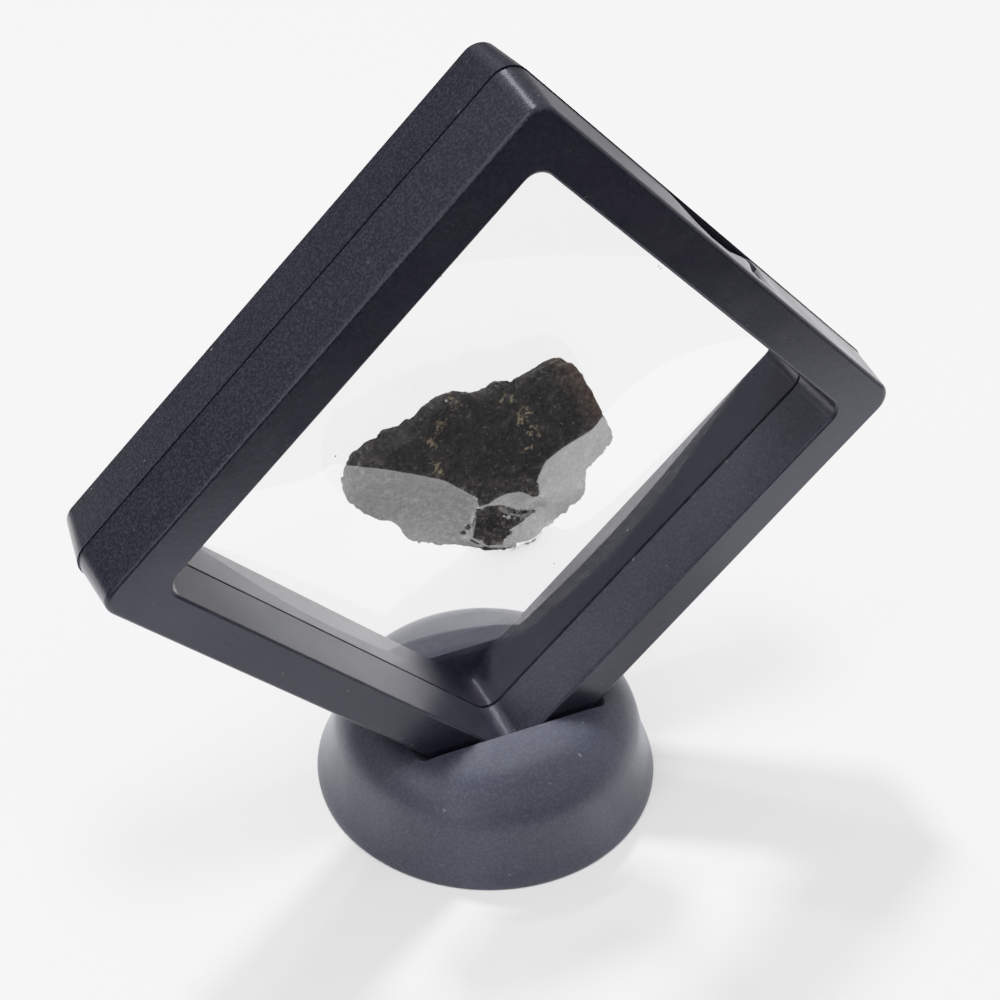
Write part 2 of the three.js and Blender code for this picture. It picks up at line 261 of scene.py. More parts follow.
# Where tan grains gather on the stone: x, z and radius of each patch.
GRAIN_PATCHES = (
    (-9.9, 73.2, 2.0), (-11.6, 71.6, 1.7), (-7.3, 75.6, 1.3), (-13.1, 79.0, 1.0), (-11.2, 67.8, 1.6),
    (0.9, 74.8, 1.6), (2.6, 71.6, 2.4), (4.2, 69.0, 2.0), (3.1, 66.8, 1.5),
)
GRAIN_GATHER = 0.21              # what the noise that makes grains gains in the middle of a patch
MEALY_LINE = (59.6, 60.8)        # z at the middle, where the mealy underside starts to fade and ends
MEALY_RISE = 0.5                 # how steeply that line rises to both sides
RUST_LEAN = 0.47                 # how far the rusty end's edge leans left for each mm that it rises
RUST_Z = 68.7                    # the height at which its x is measured
RUST_RAGGED = 3.0                # how far it wanders with the stone's lumps
RAMP_SHIFT = 30.0                # added to x for a ramp, whose stops can't be negative


def dark_base(n, lumps, fine):
    """Mottled near black, rubbed paler in places, with the blackest pits."""
    base = n.ramp(
        lumps,
        (0.36, (0.0016, 0.0014, 0.0017)),
        (0.5, (0.0048, 0.0041, 0.0046)),
        (0.66, (0.0135, 0.0108, 0.0100)),
    )
    worn = n.times(n.ramp(fine, (0.52, 0.0), (0.72, 0.9)), n.ramp(lumps, (0.4, 0.35), (0.6, 1.0)))
    base = n.mix(worn, base, (0.055, 0.047, 0.043))
    pits = n.ramp(n.noise(800, detail=3), (0.38, 0.9), (0.46, 0.0))
    return n.mix(pits, base, (0.0009, 0.0009, 0.001))


def painted_relief_light(n, base, fine):
    """Painted shade in the crevices of the mesh's relief, and a painted highlight on its brows."""
    relief = n.add("ShaderNodeAttribute", attribute_name="relief").outputs["Fac"]
    relief = n.math("ADD", relief, 0.5)
    painted_crevice_shade = n.ramp(relief, (0.16, 0.9), (0.44, 0.0))
    base = n.mix(painted_crevice_shade, base, (0.0008, 0.0008, 0.0009))
    painted_brow_highlight = n.times(n.ramp(relief, (0.56, 0.0), (0.76, 0.35)), n.ramp(fine, (0.4, 0.2), (0.6, 1.0)))
    return n.mix(painted_brow_highlight, base, (0.045, 0.039, 0.037))


def gathering(n, x, z):
    """1 in the middle of a patch of grains, and 0 at its border and beyond."""
    most = 0.0
    for patch_x, patch_z, radius in GRAIN_PATCHES:
        dx = n.math("SUBTRACT", x, patch_x * MM)
        dz = n.math("SUBTRACT", z, patch_z * MM)
        away = n.math("SQRT", n.math("ADD", n.times(dx, dx), n.times(dz, dz)))
        share = n.math("SUBTRACT", 1.0, n.math("DIVIDE", away, radius * MM))
        most = n.math("MAXIMUM", most, share)
    return most


def tan_grains(n, base, x, z):
    """Tan grains, thick in the patches and rare between them."""
    grains = n.noise(1500, detail=3, rough=0.65, distortion=0.7)
    grains = n.math("ADD", grains, n.times(gathering(n, x, z), GRAIN_GATHER))
    return n.mix(n.ramp(grains, (0.66, 0.0), (0.74, 0.85)), base, (0.19, 0.152, 0.098))


def mealy_underside(n, base, x, z):
    """Pale meal below a line that rises to both sides."""
    full, none = MEALY_LINE
    height = n.math("SUBTRACT", z, n.times(n.math("ABSOLUTE", x), MEALY_RISE))
    under = n.ramp(height, (full * MM, 1.0), (none * MM, 0.0))
    meal = n.ramp(n.noise(900, detail=5, rough=0.7), (0.50, 0.0), (0.70, 0.8))
    return n.mix(n.times(meal, under), base, (0.19, 0.165, 0.15))


def rusty_end(n, base, x, z, lumps, fine):
    """The browner upper right end, beyond a leaning, ragged edge with a painted highlight along it.
    """
    lean = n.times(n.math("SUBTRACT", z, RUST_Z * MM), RUST_LEAN)
    ragged = n.times(n.math("SUBTRACT", lumps, 0.5), RUST_RAGGED * MM)
    beyond = n.math("ADD", n.math("ADD", x, lean), ragged)
    high = n.ramp(z, (65.5 * MM, 0.0), (67.5 * MM, 1.0))
    end = n.times(n.ramp(beyond, (13.4 * MM, 0.0), (13.9 * MM, 0.85)), high)
    rust = n.mix(n.ramp(fine, (0.4, 0.0), (0.62, 1.0)), (0.030, 0.019, 0.015), (0.115, 0.074, 0.053))
    base = n.mix(end, base, rust)
    # painted highlight: a pale line along the end's edge, where light catches it
    rim = n.ramp(beyond, (12.8 * MM, 0.0), (13.3 * MM, 0.9), (13.9 * MM, 0.0))
    rim = n.times(n.times(rim, high), n.ramp(fine, (0.44, 0.0), (0.6, 1.0)))
    return n.mix(rim, base, (0.16, 0.125, 0.10))


def meteorite_stone():
    """Dark broken stone with patches of tan grains, a mealy underside and a rusty end."""
    n = Nodes(bpy.data.materials.new("meteorite_stone"))
    x, _, z = n.axes()
    lumps = n.noise(170, detail=5, rough=0.65)
    fine = n.noise(1300, detail=4, rough=0.7, distortion=0.3)
    # painted shade in the relief's crevices and a painted highlight on its brows
    base = painted_relief_light(n, dark_base(n, lumps, fine), fine)
    # darker towards the stone's left end
    left = n.ramp(n.math("ADD", x, RAMP_SHIFT * MM), (10 * MM, 0.7), (23 * MM, 0.0))
    base = n.mix(left, base, (0.0015, 0.0012, 0.0014))
    base = tan_grains(n, base, x, z)
    base = mealy_underside(n, base, x, z)
    sparks = n.ramp(n.noise(2600, detail=2, rough=0.5), (0.665, 0.0), (0.73, 0.7))
    base = n.mix(sparks, base, (0.16, 0.14, 0.11))
    base = rusty_end(n, base, x, z, lumps, fine)
    rough = n.ramp(n.noise(900, detail=3), (0.35, 0.33), (0.65, 0.75))
    normal = n.bump(n.noise(620, detail=6, rough=0.68), 0.9, 0.0005)
    normal = n.bump(n.noise(3000, detail=3, rough=0.6), 0.5, 0.0001, under=normal)
    return n.finish(Base_Color=base, Roughness=rough, Normal=normal, Specular_IOR_Level=0.12)


# ---- frame halves -------------------------------------------------------------------------
FACE_HALF = 44.1                 # half the frame's size at its faces
FRONT_SEAM_HALF = 44.84          # the front half stands back a little at the seam
EDGE_ROUND = 0.7                 # of the face's outer edge
WINDOW_ROUND = 0.45              # of the face's inner edge
SEAM_GROOVE = 0.6                # depth of the groove that shows as the seam
SEAM_HALF_GAP = 0.05             # half its width
SEAM_LIP = 0.12                  # where the side starts, from the groove's edge
REBATE_HEIGHT = 0.28             # of the rebate that holds a film, from the middle plane
REBATE_WIDTH = 2.3

# Radii of the square's corners: at the seam, the face, the window and the rebate.
SEAM_R = 3.5
FACE_R = 3.0
WINDOW_R = 2.7
REBATE_R = 5.0
CORNER_STEPS = 14

# The fingernail scoop in the front half's upper right side. NOTCH gives the share of its full run
# towards the face, and of its full bite at the seam, at places along the side.
NOTCH_RUN = 7.6
NOTCH_BITE = 2.4
NOTCH = ((-10.6, 0.0), (-8.6, 0.45), (-7.2, 0.82), (-5.0, 1.0), (-0.5, 0.96), (3.3, 0.68),
         (6.2, 0.42), (8.6, 0.26), (11.0, 0.0))
NOTCH_TO_FACE = 0.75             # it stops this far from the face
NOTCH_HALF_LENGTH = 11.5         # half the stretch of side that is cut into short steps for it
NOTCH_STEP = 0.5


def notch_share(along):
    places, shares = zip(*NOTCH)
    return float(np.interp(along, places, shares, left=0.0, right=0.0))


def square_stations():
    """(corner x sign, corner z sign, angle, place along the +X side or None) round the square."""
    stations = []
    for corner, (sx, sz) in enumerate(((1, 1), (-1, 1), (-1, -1), (1, -1))):
        for step in range(CORNER_STEPS + 1):
            stations.append((sx, sz, (corner + step / CORNER_STEPS) * math.pi / 2, None))
    for along in np.arange(NOTCH_HALF_LENGTH, -NOTCH_HALF_LENGTH - NOTCH_STEP / 2, -NOTCH_STEP):
        stations.append((1, 0, 0.0, float(along)))
    return stations


def ring_point(station, half, radius):
    """Where a station lies on a square of this half size with corners of this radius."""
    sx, sz, angle, along = station
    if along is not None:
        return half, -along
    return (
        sx * (half - radius) + radius * math.cos(angle),
        sz * (half - radius) + radius * math.sin(angle),
    )


def quarter_turn(steps):
    """Cosine and sine at even steps over a quarter turn."""
    angles = [share * math.pi / 2 for share in np.linspace(0, 1, steps)]
    return [(math.cos(a), math.sin(a)) for a in angles]


def half_section(seam_half):
    """(half size, depth from the middle plane, corner radius) from the seam round the face.

    The halves meet inside a shallow groove that shows as the seam. The second point lies on
    the first, and frame_half moves it to the lip or to the scoop's far edge.
    """
    face = THICK / 2
    window_face = WINDOW / 2
    window_seam = window_face - WINDOW_DRAFT
    section = [(seam_half, SEAM_HALF_GAP, SEAM_R), (seam_half, SEAM_HALF_GAP, SEAM_R)]
    for cos, sin in quarter_turn(7):
        section.append((FACE_HALF - EDGE_ROUND * (1 - cos), face - EDGE_ROUND * (1 - sin), FACE_R))
    for cos, sin in quarter_turn(6):
        half = window_face + WINDOW_ROUND * (1 - sin)
        section.append((half, face - WINDOW_ROUND * (1 - cos), WINDOW_R))
    section += [
        (window_seam, REBATE_HEIGHT, WINDOW_R),
        (window_seam + REBATE_WIDTH, REBATE_HEIGHT, REBATE_R),
        (window_seam + REBATE_WIDTH, 0.0, REBATE_R),
        (seam_half - SEAM_GROOVE, 0.0, SEAM_R - SEAM_GROOVE),
    ]
    return section


def frame_half(name, side, section, notched):
    """One half of the frame; side is -1 for the front and 1 for the back."""
    stations = square_stations()
    points = []
    for station in stations:
        share = notch_share(station[3]) if notched and station[3] is not None else 0.0
        for index, (half, depth, radius) in enumerate(section):
            if index in (0, len(section) - 1):
                half -= NOTCH_BITE * share
            elif index == 1:
                depth += SEAM_LIP + NOTCH_RUN * share
                half -= (section[0][0] - FACE_HALF) * depth / (THICK / 2)
                depth = min(depth, THICK / 2 - NOTCH_TO_FACE)
            x, z = ring_point(station, half, radius)
            points.append(stand45(x, side * depth, z))
    count = len(section)
    faces = []
    for i in range(len(stations)):
        here, after = i * count, ((i + 1) % len(stations)) * count
        for j in range(count):
            k = (j + 1) % count
            faces.append((here + j, after + j, after + k, here + k))
    piece = mesh_object(name, points, faces)
    shade_smooth(piece, angle=32)
    weights = piece.modifiers.new("flats", "WEIGHTED_NORMAL")
    weights.keep_sharp = True
    return piece


# The ragged crack at the scoop's right end: (place along the side, y).
CRACK = (
    (8.3, 0.5), (9.6, 0.5), (9.6, -2.4), (10.9, -2.6), (9.55, -3.9), (7.2, -6.9), (7.55, -7.9),
    (6.6, -8.3), (5.6, -7.3), (8.05, -3.6),
)
CRACK_DEPTH = 4.5


def crack():
    """A thin wedge that opens the front half's side along the crack."""
    ends = (SIDE / 2 - CRACK_DEPTH, SIDE / 2 + 1)
    points = [stand45(end, y, -along) for end in ends for along, y in CRACK]
    count = len(CRACK)
    faces = [tuple(range(count)), tuple(reversed(range(count, 2 * count)))]
    faces += [(j, (j + 1) % count, (j + 1) % count + count, j + count) for j in range(count)]
    piece = mesh_object("crack", points, faces)
    shade_smooth(piece, angle=10)
    return piece


# ---- foot ---------------------------------------------------------------------------------
FOOT_TOP = 16.2
CAVITY_TOP = 14.4
FOOT_OUTLINE = (
    (27.55, 0.0), (27.7, 0.25), (27.55, 0.9), (26.5, 3.4), (25.6, 6.4), (25.0, 8.8), (24.5, 10.7),
    (23.65, 12.3), (22.35, 13.75), (20.75, 14.95), (19.0, 15.8), (17.3, 16.12), (16.2, FOOT_TOP),
)
CAVITY_OUTLINE = ((18.9, CAVITY_TOP), (21.9, 12.3), (23.2, 8.8), (24.7, 3.4), (26.0, 0.0))
FOOT_STEPS = 160

# The slot that holds the frame's corner, and the pocket round it inside the foot: how far each
# stands off the corner, its half length along Y, and its top.
CORNER_R = 3.45                  # of the frame's corner, as the slot takes it
SLOT = (0.3, 10.3, 24.0)
SLOT_END_ROUND = 1.2
POCKET = (1.9, 11.9, 15.7)
POCKET_COVER = 0.2               # the pocket stays this far inside the foot's outside


def smooth_outline(points, rounds=2):
    """Corner cutting, ends kept."""
    for _ in range(rounds):
        cut = [points[0]]
        for (r1, h1), (r2, h2) in zip(points, points[1:]):
            cut += [(0.75 * r1 + 0.25 * r2, 0.75 * h1 + 0.25 * h2),
                    (0.25 * r1 + 0.75 * r2, 0.25 * h1 + 0.75 * h2)]
        points = cut + [points[-1]]
    return points


def lathe(name, outline):
    """outline runs from the axis to the axis."""
    points = [(0, 0, outline[0][1])]
    inner = outline[1:-1]
    for step in range(FOOT_STEPS):
        a = step / FOOT_STEPS * 2 * math.pi
        points += [(r * math.cos(a), r * math.sin(a), h) for r, h in inner]
    points.append((0, 0, outline[-1][1]))
    last = len(points) - 1
    count = len(inner)
    faces = []
    for step in range(FOOT_STEPS):
        here, after = 1 + step * count, 1 + (step + 1) % FOOT_STEPS * count
        faces.append((0, after, here))
        faces.append((last, here + count - 1, after + count - 1))
        faces += [(here + j, after + j, after + j + 1, here + j + 1) for j in range(count - 1)]
    return mesh_object(name, points, faces)


def slants_from(edge, top):
    """Whether an edge lies across Y and runs down from a prism's top."""
    (_, y0, z0), (_, y1, z1) = (vertex.co / MM for vertex in edge.verts)
    return abs(y0 - y1) < 1e-4 and max(z0, z1) > top - 0.01 and min(z0, z1) < top - 1


def corner_prism(name, margin, half_length, top, end_round=0.0):
    """The frame's lowest corner grown by a margin, as a prism along Y."""
    radius = CORNER_R + margin
    tip = SIDE / 2 + margin - radius
    arc = []
    arc_steps = 12
    for step in range(arc_steps + 1):
        a = math.pi + step / arc_steps * math.pi / 2
        x, _, z = stand45(-tip + radius * math.cos(a), 0, -tip + radius * math.sin(a))
        arc.append((x, z))
    left, right = arc[0], arc[-1]
    outline = [(left[0] - (top - left[1]), top), *arc, (right[0] + (top - right[1]), top)]
    points = [(x, y, z) for y in (-half_length, half_length) for x, z in outline]
    count = len(outline)
    faces = [tuple(range(count)), tuple(reversed(range(count, 2 * count)))]
    faces += [(j, j + count, (j + 1) % count + count, (j + 1) % count) for j in range(count)]
    piece = mesh_object(name, points, faces)
    data = bmesh.new()
    data.from_mesh(piece.data)
    bmesh.ops.recalc_face_normals(data, faces=data.faces)
    if end_round:
        slanted = [edge for edge in data.edges if slants_from(edge, top)]
        bmesh.ops.bevel(
            data, geom=slanted, offset=end_round * MM, segments=5, affect="EDGES", profile=0.5,
        )
    data.to_mesh(piece.data)
    data.free()
    return piece


def boolean(piece, other, operation):
    """Join, cut or intersect a piece with another, which is used up."""
    cut = piece.modifiers.new("cut", "BOOLEAN")
    cut.operation = operation
    cut.object = other
    cut.solver = "EXACT"
    apply_modifiers(piece)
    bpy.data.objects.remove(other)


def shrunk(outline, by):
    return [(radius - by, height - by) for radius, height in outline]


def below_floor():
    """A block that holds all that lies under the table's surface."""
    half = 40.0
    depth = 9.0
    points = [(x, y, z) for z in (-depth, 0.0) for y in (-half, half) for x in (-half, half)]
    faces = [(0, 2, 3, 1), (4, 5, 7, 6), (0, 1, 5, 4), (2, 6, 7, 3), (0, 4, 6, 2), (1, 3, 7, 5)]
    return mesh_object("floor_cut", points, faces)


def foot():
    """A hollow foot with the slot for the frame's corner, and the slot's own pocket inside."""
    outer = smooth_outline(list(FOOT_OUTLINE))
    inner = smooth_outline(list(CAVITY_OUTLINE))
    piece = lathe("foot", [(0, FOOT_TOP), *reversed(outer), *reversed(inner), (0, CAVITY_TOP)])
    cover = [(0, FOOT_TOP - POCKET_COVER), *reversed(shrunk(outer, POCKET_COVER)), (0, 0.0)]
    pocket = corner_prism("pocket", *POCKET)
    boolean(pocket, lathe("inside", cover), "INTERSECT")
    boolean(piece, pocket, "UNION")
    boolean(piece, corner_prism("slot", *SLOT, end_round=SLOT_END_ROUND), "DIFFERENCE")
    boolean(piece, below_floor(), "DIFFERENCE")
    shade_smooth(piece, angle=38)
    return piece


# ---- stone --------------------------------------------------------------------------------
VOXEL = 0.22
GRAIN_ROOM = 0.3                 # the film rides this far above the stone's mean surface
GRAIN_CLEAR = 0.04               # and no grain comes nearer to it than this
CHIP_SEED = 7                    # settles how the chips tilt, which the clock would otherwise do
FRONT_BLEND = 2.5                # the larger, the further round to the side the crests reach
MOST_RISE = 4.0                  # of a crest over the solid's own surface

# Sharp crests of the stone's front, as (x, height above the middle plane, z).
RIDGE = (
    (-25.0, 3.4, 72.0), (-19.8, 4.2, 70.3), (-14.1, 5.0, 68.0), (-10.5, 5.5, 66.3), (-5.7, 6.2, 62.1),
    (-3.8, 6.4, 60.9), (-1.2, 6.2, 61.4), (1.4, 6.1, 60.9), (3.1, 6.2, 59.3), (4.0, 6.2, 59.2),
    (3.8, 5.8, 61.4), (5.2, 5.4, 64.9), (8.6, 4.9, 66.3), (13.2, 4.2, 67.3), (15.4, 3.5, 68.9),
)
RIBS = (
    ((-3.8, 6.4, 60.9), (-5.4, 6.5, 60.9), (-5.9, 6.85, 58.6), (-6.5, 7.3, 55.3)),
    ((-6.5, 7.3, 55.3), (-4.2, 7.65, 53.5), (-0.5, 7.5, 52.4)),
    ((-2.8, 6.6, 59.6), (-1.6, 6.85, 58.3), (0.6, 6.8, 57.0), (2.8, 6.5, 56.6)),
    ((-1.3, 7.25, 55.5), (0.2, 7.1, 55.7), (1.8, 6.75, 56.2)),
    ((-1.2, 7.4, 54.1), (0.8, 7.35, 52.4)),
    ((-0.9, 7.3, 55.0), (-0.4, 7.4, 53.8)),
    ((0.8, 7.35, 52.4), (3.0, 6.7, 51.6), (5.0, 5.8, 51.6)),
    ((-6.3, 7.0, 53.6), (-3.2, 7.35, 52.2), (0.4, 7.25, 51.5)),
)
RIDGE_SLOPE = 0.4                # how steeply the surface falls beside the ridge and the ribs
RIB_SLOPE = 1.5
BOWL_SLOPE = 2.5                 # the film's steepest rise round a flat that it clings to
BOWL_REACH = 1.0                 # and how far beside the flat it holds

# Flats of the stone's front that the film clings to: three points of the flat, and its border.
FLATS = (
    (((-25.0, 3.4, 71.7), (-5.6, 6.2, 61.5), (-10.6, 4.9, 54.4)),
     ((-17.0, 68.4), (-10.5, 65.7), (-5.9, 61.7), (-5.6, 60.5), (-6.7, 57.5), (-8.4, 54.8),
      (-8.8, 52.6), (-10.6, 53.1), (-16.6, 58.7))),
    (((-1.2, 6.15, 61.0), (3.1, 6.1, 58.9), (1.4, 5.75, 57.3)),
     ((-2.3, 60.1), (-0.8, 60.7), (1.4, 60.3), (3.1, 58.7), (4.5, 57.8), (4.0, 56.5), (1.7, 56.8),
      (-0.6, 58.2))),
)


def nearest(x, z, ax, az, bx, bz):
    """Share of the way from a to b where that line passes nearest, and how far off it is."""
    along = ((x - ax) * (bx - ax) + (z - az) * (bz - az)) / ((bx - ax) ** 2 + (bz - az) ** 2)
    along = np.clip(along, 0, 1)
    return along, np.hypot(x - ax - along * (bx - ax), z - az - along * (bz - az))


def crest_height(x, z, crest, slope):
    """Height of a roof that falls away on both sides of a crest."""
    height = np.full(np.shape(x), -FAR)
    for (ax, ah, az), (bx, bh, bz) in zip(crest, crest[1:]):
        along, away = nearest(x, z, ax, az, bx, bz)
        height = np.maximum(height, ah + along * (bh - ah) - slope * away)
    return height


def crests(x, z):
    """Height of the highest crest's slope at each place."""
    height = crest_height(x, z, RIDGE, RIDGE_SLOPE)
    for rib in RIBS:
        height = np.maximum(height, crest_height(x, z, rib, RIB_SLOPE))
    return height


def flat_height(x, z, corners):
    """Height of the plane through three corners."""
    a, b, c = (np.array(corner) for corner in corners)
    normal = np.cross(b - a, c - a)
    return a[1] - (normal[0] * (x - a[0]) + normal[2] * (z - a[2])) / normal[1]


def within(x, z, border):
    """Whether points lie inside a border, by counting its crossings."""
    inside = np.zeros(np.shape(x), bool)
    tiny = 1e-9                      # keeps a level stretch from dividing by zero
    for (ax, az), (bx, bz) in zip(border, border[1:] + border[:1]):
        spans = (az > z) != (bz > z)
        inside ^= spans & (x < ax + (z - az) * (bx - ax) / (bz - az + tiny))
    return inside


def outside(x, z, border):
    """Distance from a border for points outside it, 0 within."""
    away = np.full(np.shape(x), np.inf)
    for (ax, az), (bx, bz) in zip(border, border[1:] + border[:1]):
        away = np.minimum(away, nearest(x, z, ax, az, bx, bz)[1])
    return np.where(within(x, z, border), 0.0, away)


def chips(p, scale, seed):
    """Height of a surface broken into small tilted flats, about -0.5 to 0.5."""
    q = Vector((p.x * scale + seed, p.y * scale - seed, p.z * scale + 2 * seed))
    centre = noise.voronoi(q)[1][0]
    tilt = noise.noise_vector(centre * 3.1)
    return tilt.dot(q - centre) + 0.6 * noise.noise(centre * 1.7)


def stone_relief(p):
    """How far the surface stands out or in at a point: broken flats of three sizes, and pits."""
    pits = max(0.0, noise.noise(p * 0.9 + Vector((5, 2, 9))) - 0.18)
    lift = (
        0.22 * noise.fractal(p * 0.16, 0.9, 2.1, 4)
        + 0.42 * chips(p, 0.33, 4.0)
        + 0.26 * chips(p, 0.8, 11.0)
        + 0.20 * chips(p, 1.9, 23.0)
        + 0.13 * noise.fractal(p * 1.9, 0.8, 2.2, 4)
        - 0.9 * pits
        - 0.05
    )
    return min(lift, GRAIN_ROOM - GRAIN_CLEAR)


# Two hollows and one swelling of the outline: x, z, spread, and the shift of the rim there.
OUTLINE_SHIFTS = (
    (9.6, 49.6, 6.0, (-1.5, 1.6)),
    (15.4, 57.6, 4.5, (-1.6, 0.5)),
    (-13.5, 54.1, 4.5, (-0.5, -0.9)),
)


def shift_outline(piece):
    points = points_of(piece)
    for x, z, spread, (dx, dz) in OUTLINE_SHIFTS:
        away = np.hypot(points[:, 0] - x, points[:, 2] - z) / spread
        share = np.clip(1 - away * away, 0, 1) ** 2
        points[:, 0] += dx * share
        points[:, 2] += dz * share
    set_points(piece, points)


def rough_out():
    """The solid's stone, finely meshed and with its facets softened."""
    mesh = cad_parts["meteorite"].data.copy()
    piece = bpy.data.objects.new("stone", mesh)
    bpy.context.scene.collection.objects.link(piece)
    data = bmesh.new()
    data.from_mesh(mesh)
    bmesh.ops.remove_doubles(data, verts=data.verts, dist=1e-6)
    data.to_mesh(mesh)
    data.free()
    remesh = piece.modifiers.new("fine", "REMESH")
    remesh.mode = "VOXEL"
    remesh.voxel_size = VOXEL * MM
    relax = piece.modifiers.new("relax", "SMOOTH")
    relax.iterations = 4
    apply_modifiers(piece)
    shift_outline(piece)
    return piece


def normals_of(piece):
    normals = np.empty(len(piece.data.vertices) * 3)
    piece.data.vertex_normals.foreach_get("vector", normals)
    return normals.reshape(-1, 3)


def break_surface(piece):
    """Raise the crests on the front, then chip and pit the whole surface."""
    points = points_of(piece)
    front = np.clip(-FRONT_BLEND * normals_of(piece)[:, 1], 0, 1)
    crest = crests(points[:, 0], points[:, 2])
    rise = np.clip(crest + points[:, 1], 0, MOST_RISE) * front
    points[:, 1] -= rise
    points[:, 1] += GRAIN_ROOM * front
    set_points(piece, points)
    settle = piece.modifiers.new("settle", "SMOOTH")
    settle.iterations = 2
    apply_modifiers(piece)
    points = points_of(piece)
    noise.seed_set(CHIP_SEED)
    lift = np.array([stone_relief(Vector(p)) for p in points])
    set_points(piece, points + normals_of(piece) * lift[:, None])
    shade_smooth(piece)
    relief = piece.data.attributes.new("relief", "FLOAT", "POINT")
    relief.data.foreach_set("value", lift)


# ---- films --------------------------------------------------------------------------------
SEAT = 39.04                     # half size of a film, across the flats
SEAT_HEIGHT = 0.1                # of its inner face from the middle plane
FILM_THICK = 0.08
BACK_GAP = 0.05                  # between the back film and the broken stone
FINE_STEP = 0.25                 # of the grid over the stone
FINE_HALF = 21.0                 # half the width that it covers
COARSE_STEPS = 20                # from there to the border
ROUNDS = 700                     # of relaxing the sheet
OVERSHOOT = 1.93                 # of each round's moves, which speeds it up


def film_lines():
    """Grid lines across the unturned square: close over the stone, wider towards the border."""
    fine = np.arange(-FINE_HALF, FINE_HALF + FINE_STEP / 2, FINE_STEP)
    steps = np.cumsum(np.linspace(0.5, 1.25, COARSE_STEPS))
    outer = FINE_HALF + steps * (SEAT - FINE_HALF) / steps[-1]
    return np.concatenate([-outer[::-1], fine, outer])


def reach(piece, side, x, z):
    """How far a piece stands out from the middle plane at each place, -FAR beside it."""
    data = bmesh.new()
    data.from_mesh(piece.data)
    tree = BVHTree.FromBMesh(data)
    data.free()
    (x0, _, z0), (x1, _, z1) = (Vector(c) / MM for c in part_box("meteorite"))
    heights = np.full(x.shape, -FAR)
    near = (x > x0 - 1) & (x < x1 + 1) & (z > z0 - 1) & (z < z1 + 1)
    for i, j in np.argwhere(near):
        hit, *_ = tree.ray_cast(Vector((x[i, j], side * FAR, z[i, j])) * MM, Vector((0, -side, 0)))
        if hit is not None:
            heights[i, j] = side * hit.y / MM
    return heights


def stretched(u, v, floor, ceiling):
    """Heights of a taut film between floor and ceiling, held at its border."""
    edge = WINDOW / 2 - WINDOW_DRAFT
    free = ((np.abs(u)[:, None] < edge) & (np.abs(v)[None, :] < edge))[1:-1, 1:-1]
    height = np.clip(np.full(floor.shape, SEAT_HEIGHT), floor, ceiling)
    du = np.diff(u)
    dv = np.diff(v)
    left = (2 / (du[:-1] * (du[:-1] + du[1:])))[:, None]
    right = (2 / (du[1:] * (du[:-1] + du[1:])))[:, None]
    down = (2 / (dv[:-1] * (dv[:-1] + dv[1:])))[None, :]
    up = (2 / (dv[1:] * (dv[:-1] + dv[1:])))[None, :]
    total = left + right + down + up
    inner = (slice(1, -1), slice(1, -1))
    parity = np.add(*np.indices(floor.shape))[inner] % 2
    for _ in range(ROUNDS):
        for turn in (0, 1):
            here = height[inner]
            mean = (left * height[:-2, 1:-1] + right * height[2:, 1:-1]
                    + down * height[1:-1, :-2] + up * height[1:-1, 2:]) / total
            moved = np.clip(here + OVERSHOOT * (mean - here), floor[inner], ceiling[inner])
            height[inner] = np.where(free & (parity == turn), moved, here)
    return height


def film(name, side, u, v, heights):
    """A closed thin sheet. It neither shadows the stone nor keeps the room's light from it."""
    rows, columns = heights.shape
    points = []
    for lift in (FILM_THICK, 0.0):
        for i in range(rows):
            for j in range(columns):
                points.append(stand45(u[i], side * (heights[i, j] + lift), v[j]))
    size = rows * columns
    faces = []
    for i in range(rows - 1):
        for j in range(columns - 1):
            a = i * columns + j
            quad = (a, a + columns, a + columns + 1, a + 1)
            faces.append(quad)
            faces.append(tuple(size + k for k in reversed(quad)))
    rim = ([i * columns for i in range(rows)]
           + [(rows - 1) * columns + j for j in range(1, columns)]
           + [i * columns + columns - 1 for i in range(rows - 2, -1, -1)]
           + [j for j in range(columns - 2, 0, -1)])
    for a, b in zip(rim, rim[1:] + rim[:1]):
        faces.append((b, a, size + a, size + b))
    piece = mesh_object(name, points, faces)
    shade_smooth(piece, angle=60)
    piece.visible_shadow = False
    piece.visible_diffuse = False
    return piece


def stone_and_films():
    """The films are stretched over the stone, and the stone is broken up under them."""
    u = v = film_lines()
    across, up = np.meshgrid(u, v, indexing="ij")
    x, _, z = stand45(across, 0, up)
    piece = rough_out()
    floor = np.maximum(reach(piece, -1, x, z), crests(x, z))
    no_ceiling = np.full(x.shape, FAR)
    ceiling = no_ceiling
    for corners, border in FLATS:
        away = outside(x, z, border)
        bowl = flat_height(x, z, corners) + BOWL_SLOPE * away
        ceiling = np.where(away < BOWL_REACH, np.minimum(ceiling, bowl), ceiling)
    floor = np.minimum(floor, ceiling)
    front_film = film("front_film", -1, u, v, stretched(u, v, floor, ceiling))
    break_surface(piece)
    behind = reach(piece, 1, x, z) + BACK_GAP
    back_film = film("back_film", 1, u, v, stretched(u, v, behind, no_ceiling))
    return piece, front_film, back_film


# ---- room ---------------------------------------------------------------------------------
WALL = (0.11,) * 3
CEILING = (1.0,) * 3
PALE_WALL = (0.8,) * 3
STRAIGHT = (0.95,) * 3           # the room, looked at straight or through the films
DIM_CORNER = (0.34, 0.70, 0.63)  # direction of the part of the ceiling that is dimmed
PAPER_HALF = 3000.0              # half the floor's size
PAPER_DROP = 0.05                # the floor lies this far under the foot
PAPER_FRONT = -100.0             # in front of this line the room is dark, as mirrors see it
PAPER_BACK = 210.0               # and behind this one it is dim
LAMP_AWAY = 1300.0               # of every lamp, from the origin
RESPONSE = 1.24                  # how fast the camera's tones rise towards white


